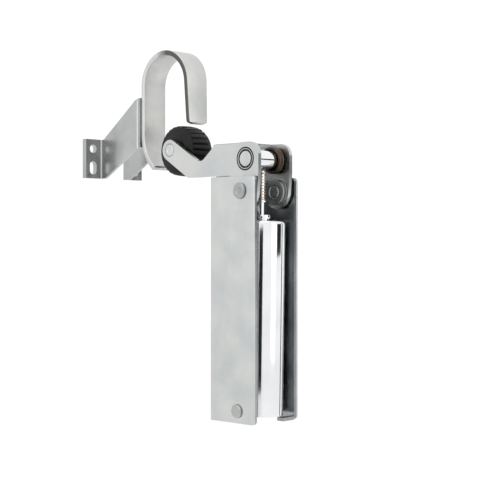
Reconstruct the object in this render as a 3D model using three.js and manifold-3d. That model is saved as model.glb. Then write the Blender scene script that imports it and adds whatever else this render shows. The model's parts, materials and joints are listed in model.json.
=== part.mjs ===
// Spring-action door closer: a damper body with a cocked roller arm, and the hook strike
// that the roller pulls on. Millimetres. +X runs along the door, +Y into the wall, +Z up.
// The origin is the centre of the body's back face, which is screwed to the door.
import * as THREE from 'three';
import { mergeVertices } from 'three/addons/utils/BufferGeometryUtils.js';
import Module from 'manifold-3d';

const wasm = await Module();
wasm.setup();

// ---- Driving dimensions -------------------------------------------------------------
const GAP = 0.3;                 // clearance between fitted pieces
const HEIGHT = 190.5;            // body, top to bottom
const DEPTH = 47.3;              // body, door face to open front
const WIDTH = 50;                // body, across both side plates
const SIDE_PLATE = 1.6;          // outer side plate thickness
const CHANNEL_WALL = 1.7;        // inner channel thickness
const CORNER = 3.2;              // front corner radius of the side plates

const PIVOT = { y: -32, z: 84 };         // arm pivot in the body
const LINK = { y: -32.4, z: 108.9 };     // pin that the damper pulls on
const TRUNNION = { y: -29, z: -85.8 };   // lower pivot of the damper
const AXLE = { y: 53.9, z: 119.9 };      // roller axle

const ARM_HALF = 19.4;           // outer face of the arm's flanges
const ARM_SHEET = 3.2;
const ARM_UNDERSIDE = 96.3;      // lower edge of the arm when cocked
const ARM_TOP = 122;
const ARM_END_RADIUS = 13.1;     // round end at the pivot
const ARM_FRONT = -46.4;         // front edge beside the link pin
const ARM_CORNER = 10;           // round corner above the link pin
const EYE_RADIUS = 8.5;          // round end at the roller axle
const WEB_FROM = -26.9;          // the arm's top web runs between these
const WEB_TO = 1.5;
const WEB_SIDE = 5.4;            // how far the bent top reaches down the flanges

const PIN_RADIUS = 6.05;
const PIN_BUSH_RADIUS = 8.95;
const BARREL_RADIUS = 7.35;
const AXLE_RADIUS = 5;

const ROLLER_RADIUS = 20.9;
const ROLLER_HALF = 12;
const HUB_RADIUS = 8.2;

const TUBE_RADIUS = 18.8;
const TUBE_WALL = 2;
const TUBE_TOP = 147.3;          // along the damper, from the trunnion
const TUBE_FOOT = -5;
const GUIDE_RADIUS = 6.2;        // rod guide inside the tube's mouth
const COLLAR_RADIUS = 7.2;
const ROD_RADIUS = 2.1;
const PISTON_FOOT = 36;
const PISTON_HEIGHT = 14;

const STRAP_WIDTH = 24.4;
const STRAP_TIP_WIDTH = 20.6;
const STRAP = 4.4;               // strap thickness
const HOOK_TIP = { y: 39.5, z: 141.5 };  // outer face and lower end of the hook's tip
const HOOK_TIP_EASE = 1.5;       // rounding inside the tip, where the roller passes
const HOOK_FRONT = 41.2;         // outer face of the front leg below the crown
const HOOK_BACK = 97.5;          // outer face of the hook's back leg
const HOOK_TOP = 204.5;
const HOOK_CURL_FROM = 135.5;    // where the back leg starts to curl under the roller
const HOOK_CURL_RADIUS = 40;
const HOOK_CURL = THREE.MathUtils.degToRad(51);

const WALL_Y = 151.5;            // wall face that the strike stands on
const BRACKET_SHEET = 2.5;
const BRACKET_HALF = 15;
const BRACKET_LOW = 124.8;       // web, bottom and top
const BRACKET_SHOULDER = 164.5;
const BRACKET_TOP = 167;
const FOOT_THICK = 4.7;
const FOOT_HALF = 32;            // centre to the feet's outer ends
const FOOT_LOW = 100;
const FOOT_HIGH = 134;
const FOOT_SCREW = 3.65;
const FOOT_SCREW_X = 24;
const FOOT_HOLE_Z = 125.7;
const FOOT_SLOT_Z = 109.1;
const FOOT_SLOT_HALF = 2.1;      // slot centres from its middle

// ---- Derived places -----------------------------------------------------------------
const CHANNEL_HALF = WIDTH / 2 - SIDE_PLATE - GAP;
const INSIDE_HALF = CHANNEL_HALF - CHANNEL_WALL;
const ARM_INSIDE = ARM_HALF - ARM_SHEET;
const DAMPER_TILT = Math.atan2(TRUNNION.y - LINK.y, LINK.z - TRUNNION.z);
const DAMPER_LENGTH = Math.hypot(LINK.y - TRUNNION.y, LINK.z - TRUNNION.z);

// ---- Materials ----------------------------------------------------------------------
const material = (color, roughness, metalness) =>
  new THREE.MeshStandardMaterial({ color, roughness, metalness });
const ZINC = () => material(0xc4c8c8, 0.32, 1);
const BRIGHT = () => material(0xd9dbdc, 0.18, 1);
const DARK_STEEL = () => material(0x4a4238, 0.4, 1);
const BLACK_PLASTIC = () => material(0x17181a, 0.5, 0);
const RUBBER = () => material(0x1d1d1d, 0.8, 0);

// ---- Solid helpers ------------------------------------------------------------------
// Welding distance. It isn't a round number, so no coordinate sits on a rounding edge.
const WELD = 1.37e-4;

// A closed geometry as a solid whose faces point out.
function solid(geometry) {
  geometry.deleteAttribute('normal');
  geometry.deleteAttribute('uv');
  const merged = mergeVertices(geometry, WELD);
  const points = merged.attributes.position.array;
  const triangles = [];
  let volume = 0;
  const corner = (i) => new THREE.Vector3().fromArray(points, 3 * i);
  for (let i = 0; i < merged.index.count; i += 3) {
    const [a, b, c] = [0, 1, 2].map((k) => merged.index.getX(i + k));
    if (a === b || b === c || c === a) continue;
    volume += corner(a).dot(corner(b).cross(corner(c)));
    triangles.push([a, b, c]);
  }
  const facing = volume > 0 ? triangles : triangles.map(([a, b, c]) => [a, c, b]);
  return new wasm.Manifold(new wasm.Mesh({
    numProp: 3,
    vertProperties: new Float32Array(points),
    triVerts: new Uint32Array(facing.flat()),
  }));
}

function named(name, shape, paint) {
  const { vertProperties, triVerts } = shape.getMesh();
  const indexed = new THREE.BufferGeometry();
  indexed.setAttribute('position', new THREE.BufferAttribute(vertProperties, 3));
  indexed.setIndex(new THREE.BufferAttribute(triVerts, 1));
  const geometry = indexed.toNonIndexed();
  geometry.computeVertexNormals();
  const mesh = new THREE.Mesh(geometry, paint);
  mesh.name = name;
  return mesh;
}

const X_AXIS = new THREE.Vector3(1, 0, 0);
const Y_AXIS = new THREE.Vector3(0, 1, 0);
const Z_AXIS = new THREE.Vector3(0, 0, 1);
// Turns a shape drawn in the YZ plane so that its extrusion runs along X.
const YZ_ALONG_X = new THREE.Matrix4().makeBasis(Y_AXIS, Z_AXIS, X_AXIS);
// Turns a shape drawn in the ZX plane so that its extrusion runs along Y.
const ZX_ALONG_Y = new THREE.Matrix4().makeBasis(Z_AXIS, X_AXIS, Y_AXIS);

const extrude = (shape, depth, curveSegments = 10) =>
  new THREE.ExtrudeGeometry(shape, { depth, bevelEnabled: false, curveSegments });

// Holes run anticlockwise, whichever way their outline runs.
function roundHole(x, y, radius) {
  const hole = new THREE.Path();
  hole.absarc(x, y, radius, 0, 2 * Math.PI, false);
  return hole;
}

// A YZ outline as a plate between two X values.
const plateX = (shape, x0, x1, segments) =>
  solid(extrude(shape, x1 - x0, segments).translate(0, 0, x0).applyMatrix4(YZ_ALONG_X));

// A ZX outline as a plate between two Y values.
const plateY = (shape, y0, y1, segments) =>
  solid(extrude(shape, y1 - y0, segments).translate(0, 0, y0).applyMatrix4(ZX_ALONG_Y));

function block(x0, x1, y0, y1, z0, z1) {
  const box = new THREE.BoxGeometry(x1 - x0, y1 - y0, z1 - z0);
  return solid(box.translate((x0 + x1) / 2, (y0 + y1) / 2, (z0 + z1) / 2));
}

// A turned solid about Z. Points are [radius, z]; the last joins the first.
function turned(points, segments = 24) {
  const closed = [...points, points[0]].map(([r, z]) => new THREE.Vector2(r, z));
  return solid(new THREE.LatheGeometry(closed, segments).rotateX(Math.PI / 2));
}

// The same about X. Points are [radius, x].
function turnedX(points, segments = 24) {
  const closed = [...points, points[0]].map(([r, x]) => new THREE.Vector2(r, x));
  return solid(new THREE.LatheGeometry(closed, segments).rotateZ(-Math.PI / 2));
}

const shaftX = (radius, x0, x1, segments = 24) =>
  turnedX([[0, x0], [radius, x0], [radius, x1], [0, x1]], segments);

const ringX = (inner, outer, x0, x1, segments = 24) =>
  turnedX([[inner, x0], [outer, x0], [outer, x1], [inner, x1]], segments);

const ringZ = (inner, outer, z0, z1, segments = 24) =>
  turned([[inner, z0], [outer, z0], [outer, z1], [inner, z1]], segments);

// A coil spring about Z, from z0 to z1.
class Coil extends THREE.Curve {
  constructor(radius, z0, z1, turns) {
    super();
    Object.assign(this, { radius, z0, z1, turns });
  }

  getPoint(t, target = new THREE.Vector3()) {
    const angle = 2 * Math.PI * this.turns * t;
    return target.set(
      this.radius * Math.cos(angle),
      this.radius * Math.sin(angle),
      THREE.MathUtils.lerp(this.z0, this.z1, t),
    );
  }
}

function spring(radius, wire, z0, z1, turns, stepsPerTurn = 14, sides = 6) {
  const section = new THREE.Shape();
  for (let i = 0; i < sides; i += 1) {
    const angle = (2 * Math.PI * i) / sides;
    const point = [wire * Math.cos(angle), wire * Math.sin(angle)];
    if (i === 0) section.moveTo(...point);
    else section.lineTo(...point);
  }
  section.closePath();
  return solid(new THREE.ExtrudeGeometry(section, {
    steps: Math.round(turns * stepsPerTurn),
    extrudePath: new Coil(radius, z0 + wire, z1 - wire, turns),
    bevelEnabled: false,
  }));
}

const mirrored = (shape) => shape.mirror([1, 0, 0]);

// ---- Body ---------------------------------------------------------------------------
// Side outline in YZ: square at the door, rounded at the open front.
function sideOutline(front, radius) {
  const half = HEIGHT / 2;
  const shape = new THREE.Shape();
  shape.moveTo(0, -half);
  shape.lineTo(0, half);
  shape.lineTo(front + radius, half);
  shape.absarc(front + radius, half - radius, radius, Math.PI / 2, Math.PI, false);
  shape.lineTo(front, -half + radius);
  shape.absarc(front + radius, -half + radius, radius, Math.PI, 1.5 * Math.PI, false);
  shape.closePath();
  for (const pin of [PIVOT, TRUNNION]) {
    shape.holes.push(roundHole(pin.y, pin.z, RIVET_SHANK + GAP));
  }
  return shape;
}

const RIVET_SHANK = 4;
const LIP_HEIGHT = 2.6;
const LIP_REACH = 13;
const LIP_DEPTH = 7;
const DOOR_SCREW_RADIUS = 3.2;
const DOOR_SCREWS = [[-13, 72], [13, 72], [-13, -60], [13, -60]];

function bodyChannel() {
  const front = -DEPTH + 0.5;
  const wall = plateX(sideOutline(front, CORNER), INSIDE_HALF, CHANNEL_HALF, 6);
  const half = HEIGHT / 2;
  let channel = wall.add(mirrored(wall));
  channel = channel.add(block(-CHANNEL_HALF, CHANNEL_HALF, -CHANNEL_WALL, 0, -half, half));
  const lip = block(INSIDE_HALF - LIP_REACH, CHANNEL_HALF,
    front, front + LIP_DEPTH, -half, -half + LIP_HEIGHT);
  channel = channel.add(lip);
  for (const [x, z] of DOOR_SCREWS) {
    const drill = new THREE.CylinderGeometry(DOOR_SCREW_RADIUS, DOOR_SCREW_RADIUS, 10, 20);
    channel = channel.subtract(solid(drill.translate(x, 0, z)));
  }
  return channel;
}

const sidePlate = () =>
  plateX(sideOutline(-DEPTH, CORNER), CHANNEL_HALF + GAP, WIDTH / 2, 6);

// Stepped rivet: domed head outside, shank through the walls and a disc end inside.
function stubRivet(headRadius, headHeight, shank, innerX, discRadius, discThick) {
  const outside = WIDTH / 2 + 0.1;
  const points = [
    [0, innerX - discThick],
    [discRadius, innerX - discThick],
    [discRadius, innerX],
    [shank, innerX],
    [shank, outside],
    [headRadius, outside],
    [headRadius, outside + 0.5 * headHeight],
    [0.82 * headRadius, outside + headHeight],
    [0, outside + headHeight],
  ];
  return turnedX(points, 20);
}

const PIVOT_DISC_RADIUS = 10;
const PIVOT_DISC = 2;
const TRUNNION_SHANK = 3;

const body = new THREE.Group();
const pair = (shape, baseName, paint, place = { y: 0, z: 0 }) => {
  const far = named(`${baseName}_far`, shape, paint());
  const near = named(`${baseName}_near`, mirrored(shape), paint());
  for (const mesh of [near, far]) mesh.position.set(0, place.y, place.z);
  return [near, far];
};

const washerInner = ARM_HALF + GAP;
const washerOuter = INSIDE_HALF - GAP;
body.add(
  named('body_channel', bodyChannel(), ZINC()),
  ...pair(sidePlate(), 'side_plate', ZINC),
  ...pair(stubRivet(6.25, 1.8, RIVET_SHANK, ARM_INSIDE - GAP, PIVOT_DISC_RADIUS, PIVOT_DISC),
    'pivot_rivet', ZINC, PIVOT),
  ...pair(ringX(RIVET_SHANK + GAP, 9, washerInner, washerOuter), 'pivot_washer', BRIGHT, PIVOT),
  ...pair(stubRivet(5.3, 1.5, TRUNNION_SHANK, 11, TRUNNION_SHANK, 0.5),
    'trunnion_rivet', ZINC, TRUNNION),
);

// ---- Arm ----------------------------------------------------------------------------
// Flange outline: round foot on the pivot, round corner at the link pin, a scoop that
// clears the roller, and a round eye on the roller axle.
function armFlange() {
  const shape = new THREE.Shape();
  const lean = Math.atan2(13.8, 22.7);
  const eye = (angle) => [
    AXLE.y + EYE_RADIUS * Math.cos(angle),
    AXLE.z + EYE_RADIUS * Math.sin(angle),
  ];
  const heel = PIVOT.y + ARM_END_RADIUS;
  shape.moveTo(PIVOT.y - ARM_END_RADIUS, PIVOT.z);
  shape.lineTo(ARM_FRONT, LINK.z - 10);
  shape.lineTo(ARM_FRONT, ARM_TOP - ARM_CORNER);
  shape.absarc(ARM_FRONT + ARM_CORNER, ARM_TOP - ARM_CORNER, ARM_CORNER,
    Math.PI, Math.PI / 2, true);
  shape.lineTo(WEB_TO - 1, ARM_TOP - 0.4);
  shape.quadraticCurveTo(3, ARM_TOP - 1.2, 4.6, 118);
  shape.lineTo(12, 112);
  shape.quadraticCurveTo(17.2, 107.9, 23.5, 111.5);
  shape.lineTo(...eye(Math.PI / 2 + lean));
  shape.absarc(AXLE.y, AXLE.z, EYE_RADIUS, Math.PI / 2 + lean, lean - Math.PI / 2, true);
  shape.lineTo(34.2, ARM_UNDERSIDE + 1.6);
  shape.quadraticCurveTo(31.7, ARM_UNDERSIDE, 28.5, ARM_UNDERSIDE);
  shape.lineTo(heel + 4, ARM_UNDERSIDE);
  shape.quadraticCurveTo(heel, ARM_UNDERSIDE, heel, ARM_UNDERSIDE - 4);
  shape.lineTo(heel, PIVOT.z);
  shape.absarc(PIVOT.y, PIVOT.z, ARM_END_RADIUS, 0, -Math.PI, true);
  const bores = [[PIVOT, RIVET_SHANK], [LINK, PIN_BUSH_RADIUS], [AXLE, AXLE_RADIUS]];
  for (const [place, radius] of bores) {
    shape.holes.push(roundHole(place.y, place.z, radius + GAP));
  }
  return shape;
}

// Cross-section in ZX of the bent top of the arm.
function armWeb() {
  const bend = ARM_SHEET + 1.6;
  const inner = 1.6;
  const foot = ARM_TOP - WEB_SIDE;
  const shape = new THREE.Shape();
  shape.moveTo(foot, -ARM_HALF);
  shape.lineTo(ARM_TOP - bend, -ARM_HALF);
  shape.absarc(ARM_TOP - bend, -ARM_HALF + bend, bend, -Math.PI / 2, 0, false);
  shape.lineTo(ARM_TOP, ARM_HALF - bend);
  shape.absarc(ARM_TOP - bend, ARM_HALF - bend, bend, 0, Math.PI / 2, false);
  shape.lineTo(foot, ARM_HALF);
  shape.lineTo(foot, ARM_INSIDE);
  shape.lineTo(ARM_TOP - bend, ARM_INSIDE);
  shape.absarc(ARM_TOP - bend, ARM_INSIDE - inner, inner, Math.PI / 2, 0, true);
  shape.lineTo(ARM_TOP - ARM_SHEET, -ARM_INSIDE + inner);
  shape.absarc(ARM_TOP - bend, -ARM_INSIDE + inner, inner, 0, -Math.PI / 2, true);
  shape.lineTo(foot, -ARM_INSIDE);
  shape.closePath();
  return shape;
}

function armChannel() {
  let flange = plateX(armFlange(), ARM_INSIDE, ARM_HALF, 9);
  flange = flange.subtract(
    block(ARM_INSIDE - 1, ARM_HALF + 1, WEB_FROM, WEB_TO, ARM_TOP - WEB_SIDE, ARM_TOP + 1));
  return flange.add(mirrored(flange)).add(plateY(armWeb(), WEB_FROM, WEB_TO, 6));
}

const TORSION_WIRE = 1.4;
const torsionSpring = () => spring(BARREL_RADIUS + GAP + TORSION_WIRE + 0.3, TORSION_WIRE,
  0, 8.4, 1.7, 16, 6).transform([0, 0, -1, 0, 0, 1, 0, 0, 1, 0, 0, 0, 7.4, 0, 0, 1]);

const arm = new THREE.Group();
const linkParts = [
  named('link_pin', shaftX(PIN_RADIUS, -ARM_HALF - 0.2, ARM_HALF + 0.2), ZINC()),
  ...pair(ringX(PIN_RADIUS + GAP, PIN_BUSH_RADIUS, ARM_INSIDE + 0.1, ARM_HALF + 0.1),
    'pin_bush', ZINC),
  named('link_barrel', ringX(PIN_RADIUS + GAP, BARREL_RADIUS,
    -ARM_INSIDE + GAP, ARM_INSIDE - GAP), BRIGHT()),
  named('torsion_spring', torsionSpring(), DARK_STEEL()),
];
for (const mesh of linkParts) mesh.position.set(0, LINK.y, LINK.z);
const HUB_HALF = ROLLER_HALF + 1.6;
arm.add(
  named('arm_channel', armChannel(), ZINC()),
  ...linkParts,
);
const axle = named('roller_axle', shaftX(AXLE_RADIUS, -ARM_HALF - 0.4, ARM_HALF + 0.4), ZINC());
axle.position.set(0, AXLE.y, AXLE.z);
arm.add(axle, ...pair(ringX(AXLE_RADIUS + GAP, 7.4, HUB_HALF + GAP, ARM_INSIDE - GAP),
  'axle_washer', BRIGHT, AXLE));

// ---- Roller -------------------------------------------------------------------------
// Tread with rounded rims and a raised boss at both ends.
function rollerTread() {
  const rim = 2.2;
  const hub = HUB_RADIUS + GAP;
  const boss = 12;
  const bossEnd = HUB_HALF - 1;
  return turnedX([
    [hub, -bossEnd], [boss, -bossEnd], [boss, -ROLLER_HALF],
    [ROLLER_RADIUS - rim, -ROLLER_HALF], [ROLLER_RADIUS, -ROLLER_HALF + rim],
    [ROLLER_RADIUS, ROLLER_HALF - rim], [ROLLER_RADIUS - rim, ROLLER_HALF],
    [boss, ROLLER_HALF], [boss, bossEnd], [hub, bossEnd],
  ], 40);
}

const roller = new THREE.Group();
roller.position.set(0, AXLE.y, AXLE.z);
roller.add(
  named('roller_tread', rollerTread(), BLACK_PLASTIC()),
  named('roller_bush', ringX(AXLE_RADIUS + GAP, HUB_RADIUS, -HUB_HALF, HUB_HALF),
    BLACK_PLASTIC()),
);

// ---- Damper: its own frame has its origin at the trunnion and Z along the rod --------
function cylinderTube() {
  const inner = TUBE_RADIUS - TUBE_WALL;
  const shoulder = 3;
  const points = [[inner, TUBE_FOOT], [TUBE_RADIUS, TUBE_FOOT]];
  for (let i = 0; i <= 5; i += 1) {
    const angle = (Math.PI / 2) * (i / 5);
    points.push([
      TUBE_RADIUS - shoulder + shoulder * Math.cos(angle),
      TUBE_TOP - shoulder + shoulder * Math.sin(angle),
    ]);
  }
  const mouth = GUIDE_RADIUS + GAP;
  points.push([mouth, TUBE_TOP], [mouth, TUBE_TOP - 2.4], [inner, TUBE_TOP - 4.6]);
  const bore = shaftX(TRUNNION_SHANK + GAP, -TUBE_RADIUS - 1, TUBE_RADIUS + 1, 16);
  return turned(points, 36).subtract(bore);
}

// A plug inside the foot of the tube, bored from both sides for the trunnions.
function bottomCap() {
  const outer = TUBE_RADIUS - TUBE_WALL - GAP;
  const bore = shaftX(TRUNNION_SHANK + GAP, 10, TUBE_RADIUS, 16);
  return turned([[0, TUBE_FOOT + 0.6], [outer, TUBE_FOOT + 0.6], [outer, 12], [0, 12]], 36)
    .subtract(bore).subtract(mirrored(bore));
}

const COLLAR_FOOT = TUBE_TOP + 1.2;
const COLLAR_TOP = TUBE_TOP + 4.4;
function glandCollar() {
  const bore = ROD_RADIUS + GAP;
  const foot = TUBE_TOP - 8;
  return turned([[bore, foot], [GUIDE_RADIUS, foot], [GUIDE_RADIUS, COLLAR_FOOT],
    [COLLAR_RADIUS, COLLAR_FOOT], [COLLAR_RADIUS, COLLAR_TOP - 0.6],
    [COLLAR_RADIUS - 0.6, COLLAR_TOP], [bore, COLLAR_TOP]]);
}

const pistonTop = PISTON_FOOT + PISTON_HEIGHT;
function piston() {
  const outer = TUBE_RADIUS - TUBE_WALL - 0.4;
  const bore = ROD_RADIUS + GAP;
  const groove = outer - 1.4;
  return turned([[bore, PISTON_FOOT], [outer, PISTON_FOOT], [outer, PISTON_FOOT + 5],
    [groove, PISTON_FOOT + 5], [groove, PISTON_FOOT + 8], [outer, PISTON_FOOT + 8],
    [outer, pistonTop], [bore, pistonTop]]);
}

const rodTop = DAMPER_LENGTH - BARREL_RADIUS - 1.3;
const damper = new THREE.Group();
damper.position.set(0, TRUNNION.y, TRUNNION.z);
damper.rotation.x = DAMPER_TILT;
damper.add(
  named('cylinder_tube', cylinderTube(), BRIGHT()),
  named('bottom_cap', bottomCap(), BRIGHT()),
  named('gland_collar', glandCollar(), BRIGHT()),
  named('rod_seal', ringZ(ROD_RADIUS + GAP, GUIDE_RADIUS, TUBE_TOP - 11.4, TUBE_TOP - 8.3), RUBBER()),
  named('main_spring', spring(13, 1.6, pistonTop + 0.4, TUBE_TOP - 12, 9, 10, 5), DARK_STEEL()),
);
const rod = new THREE.Group();
rod.add(
  named('piston_rod', turned([[0, PISTON_FOOT - 3], [ROD_RADIUS, PISTON_FOOT - 3],
    [ROD_RADIUS, rodTop - 0.6], [ROD_RADIUS - 0.6, rodTop], [0, rodTop]], 20), BRIGHT()),
  named('piston', piston(), BRIGHT()),
  named('piston_ring', ringZ(TUBE_RADIUS - TUBE_WALL - 1.5, TUBE_RADIUS - TUBE_WALL - 0.3,
    PISTON_FOOT + 5.3, PISTON_FOOT + 7.7), RUBBER()),
  named('rod_spring', spring(ROD_RADIUS + GAP + 0.65, 0.4, rodTop - 23, rodTop - 1, 10, 8, 4),
    material(0xb08a6a, 0.35, 1)),
  named('spring_retainer', ringZ(ROD_RADIUS + GAP, 3.7, rodTop - 24.6, rodTop - 23.3, 20),
    BRIGHT()),
);
damper.add(rod);

// ---- Strike -------------------------------------------------------------------------
const hookRadius = (HOOK_BACK - HOOK_FRONT) / 2;
const hookCentre = { y: (HOOK_BACK + HOOK_FRONT) / 2, z: HOOK_TOP - hookRadius };

function hookStrap() {
  const inner = hookRadius - STRAP;
  const curlY = HOOK_BACK - HOOK_CURL_RADIUS;
  const curlInner = HOOK_CURL_RADIUS - STRAP;
  const tipInner = HOOK_TIP.y + STRAP;
  const shape = new THREE.Shape();
  shape.moveTo(HOOK_TIP.y, HOOK_TIP.z);
  shape.lineTo(HOOK_FRONT, hookCentre.z);
  shape.absarc(hookCentre.y, hookCentre.z, hookRadius, Math.PI, 0, true);
  shape.lineTo(HOOK_BACK, HOOK_CURL_FROM);
  shape.absarc(curlY, HOOK_CURL_FROM, HOOK_CURL_RADIUS, 0, -HOOK_CURL, true);
  shape.lineTo(curlY + curlInner * Math.cos(HOOK_CURL),
    HOOK_CURL_FROM - curlInner * Math.sin(HOOK_CURL));
  shape.absarc(curlY, HOOK_CURL_FROM, curlInner, -HOOK_CURL, 0, false);
  shape.lineTo(HOOK_BACK - STRAP, hookCentre.z);
  shape.absarc(hookCentre.y, hookCentre.z, inner, 0, Math.PI, false);
  shape.lineTo(tipInner, HOOK_TIP.z + HOOK_TIP_EASE);
  shape.quadraticCurveTo(tipInner, HOOK_TIP.z, tipInner - HOOK_TIP_EASE, HOOK_TIP.z);
  shape.closePath();
  const geometry = extrude(shape, STRAP_WIDTH, 16).translate(0, 0, -STRAP_WIDTH / 2);
  geometry.applyMatrix4(YZ_ALONG_X);
  // The front leg narrows from the crown to the tip.
  const place = geometry.attributes.position;
  for (let i = 0; i < place.count; i += 1) {
    if (place.getY(i) > hookCentre.y) continue;
    const down = (HOOK_TOP - place.getZ(i)) / (HOOK_TOP - HOOK_TIP.z);
    const share = THREE.MathUtils.lerp(1, STRAP_TIP_WIDTH / STRAP_WIDTH, down);
    place.setX(i, place.getX(i) * share);
  }
  return solid(geometry);
}

const webFace = HOOK_BACK + GAP;

function bracketLeg() {
  const shape = new THREE.Shape();
  shape.moveTo(webFace, BRACKET_LOW);
  shape.lineTo(webFace, BRACKET_SHOULDER);
  shape.lineTo(webFace + 7.7, BRACKET_SHOULDER - 2.1);
  shape.lineTo(WALL_Y - FOOT_THICK - 3, FOOT_HIGH);
  shape.lineTo(WALL_Y, FOOT_HIGH);
  shape.lineTo(WALL_Y, FOOT_LOW);
  shape.lineTo(WALL_Y - FOOT_THICK - 5, FOOT_LOW);
  shape.lineTo(webFace + 0.8, BRACKET_LOW);
  shape.closePath();
  return plateX(shape, BRACKET_HALF - BRACKET_SHEET, BRACKET_HALF);
}

// A thick foot turned out from the leg, with a round screw hole above a short slot.
function bracketFoot() {
  const inside = BRACKET_HALF - 0.5;
  const shape = new THREE.Shape();
  shape.moveTo(FOOT_LOW, inside);
  shape.lineTo(FOOT_HIGH, inside);
  shape.lineTo(FOOT_HIGH, FOOT_HALF);
  shape.lineTo(FOOT_LOW, FOOT_HALF);
  shape.closePath();
  const slot = new THREE.Path();
  slot.absarc(FOOT_SLOT_Z - FOOT_SLOT_HALF, FOOT_SCREW_X, FOOT_SCREW,
    Math.PI / 2, 1.5 * Math.PI, false);
  slot.absarc(FOOT_SLOT_Z + FOOT_SLOT_HALF, FOOT_SCREW_X, FOOT_SCREW,
    -Math.PI / 2, Math.PI / 2, false);
  slot.closePath();
  shape.holes.push(roundHole(FOOT_HOLE_Z, FOOT_SCREW_X, FOOT_SCREW), slot);
  return plateY(shape, WALL_Y - FOOT_THICK, WALL_Y, 8);
}

// The web stands on the strap's back, with its top corners cut off.
function bracketWeb() {
  const corner = BRACKET_HALF - 3;
  const shape = new THREE.Shape();
  shape.moveTo(BRACKET_LOW, -BRACKET_HALF);
  shape.lineTo(BRACKET_SHOULDER, -BRACKET_HALF);
  shape.lineTo(BRACKET_TOP, -corner);
  shape.lineTo(BRACKET_TOP, corner);
  shape.lineTo(BRACKET_SHOULDER, BRACKET_HALF);
  shape.lineTo(BRACKET_LOW, BRACKET_HALF);
  shape.closePath();
  return plateY(shape, webFace, webFace + BRACKET_SHEET);
}

function strikeBracket() {
  const side = bracketLeg().add(bracketFoot());
  return side.add(mirrored(side)).add(bracketWeb());
}

const strike = new THREE.Group();
strike.add(
  named('hook_strap', hookStrap(), ZINC()),
  named('strike_bracket', strikeBracket(), ZINC()),
);

const closer = new THREE.Group();
closer.add(body, arm, roller, damper, strike);
export default closer;
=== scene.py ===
"""Looks for a spring-action door closer with a roller arm and its hook strike."""

import json
import math

import bmesh
import bpy
from mathutils import Matrix, Vector


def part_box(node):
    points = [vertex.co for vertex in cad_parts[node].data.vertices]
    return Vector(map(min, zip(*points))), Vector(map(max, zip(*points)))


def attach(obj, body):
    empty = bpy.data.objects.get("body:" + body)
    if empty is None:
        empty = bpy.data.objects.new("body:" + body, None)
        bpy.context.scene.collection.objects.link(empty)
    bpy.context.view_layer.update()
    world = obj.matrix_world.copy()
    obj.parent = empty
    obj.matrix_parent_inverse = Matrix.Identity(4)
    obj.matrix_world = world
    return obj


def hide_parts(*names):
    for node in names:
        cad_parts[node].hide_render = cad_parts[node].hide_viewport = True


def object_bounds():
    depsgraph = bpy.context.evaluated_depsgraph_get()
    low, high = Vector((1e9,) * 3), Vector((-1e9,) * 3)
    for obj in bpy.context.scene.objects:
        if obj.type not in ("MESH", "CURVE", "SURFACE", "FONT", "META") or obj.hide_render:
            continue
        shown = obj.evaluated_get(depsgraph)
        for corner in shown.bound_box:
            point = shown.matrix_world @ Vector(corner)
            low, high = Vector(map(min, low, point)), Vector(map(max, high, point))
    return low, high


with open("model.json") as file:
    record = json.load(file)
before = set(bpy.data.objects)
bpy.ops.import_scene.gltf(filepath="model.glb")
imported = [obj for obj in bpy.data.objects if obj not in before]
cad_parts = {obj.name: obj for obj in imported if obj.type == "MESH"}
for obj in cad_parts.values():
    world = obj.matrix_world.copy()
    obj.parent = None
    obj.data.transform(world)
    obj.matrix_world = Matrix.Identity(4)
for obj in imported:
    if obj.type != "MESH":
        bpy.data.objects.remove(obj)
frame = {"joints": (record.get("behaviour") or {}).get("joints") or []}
CAD_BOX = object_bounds()
MM = 0.001
JOINTS = {joint["name"]: joint for joint in frame["joints"]}


# ---- Places read from the frame --------------------------------------------------------
def middle(node):
    """The centre of a CAD node's box, in millimetres."""
    low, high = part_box(node)
    return (low + high) / (2 * MM)


def extent(node):
    """The size of a CAD node's box, in millimetres."""
    low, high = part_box(node)
    return (high - low) / MM


def joint_place(name):
    return Vector(JOINTS[name]["pos_m"]) / MM


PIVOT = joint_place("arm_swing")
TRUNNION = joint_place("damper_tilt")
LINK = middle("link_pin")
AXLE = middle("roller_axle")
BODY_LOW, BODY_HIGH = (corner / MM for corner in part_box("side_plate_near"))
BODY_HALF = -BODY_LOW.x
HEIGHT_HALF = BODY_HIGH.z
BODY_FRONT = BODY_LOW.y
ARM_HALF = extent("arm_channel").x / 2
ARM_TOP = 122.0
ROLLER_RADIUS = extent("roller_tread").y / 2
ROD_AXIS = Vector(JOINTS["rod_slide"]["axis"]).normalized()
DAMPER = Matrix.Translation(TRUNNION) @ Vector((0, 0, 1)).rotation_difference(ROD_AXIS).to_matrix().to_4x4()
ROD_LENGTH = (LINK - TRUNNION).length
STRAP_LOW, STRAP_HIGH = (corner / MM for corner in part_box("hook_strap"))

ARM_SHEET = 3.2
PLATE = 1.6
CHANNEL = 1.7
GAP = 0.3
CORNER = 3.2             # front corners of the body's sides
RIVET_HOLE = 4.3


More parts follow.
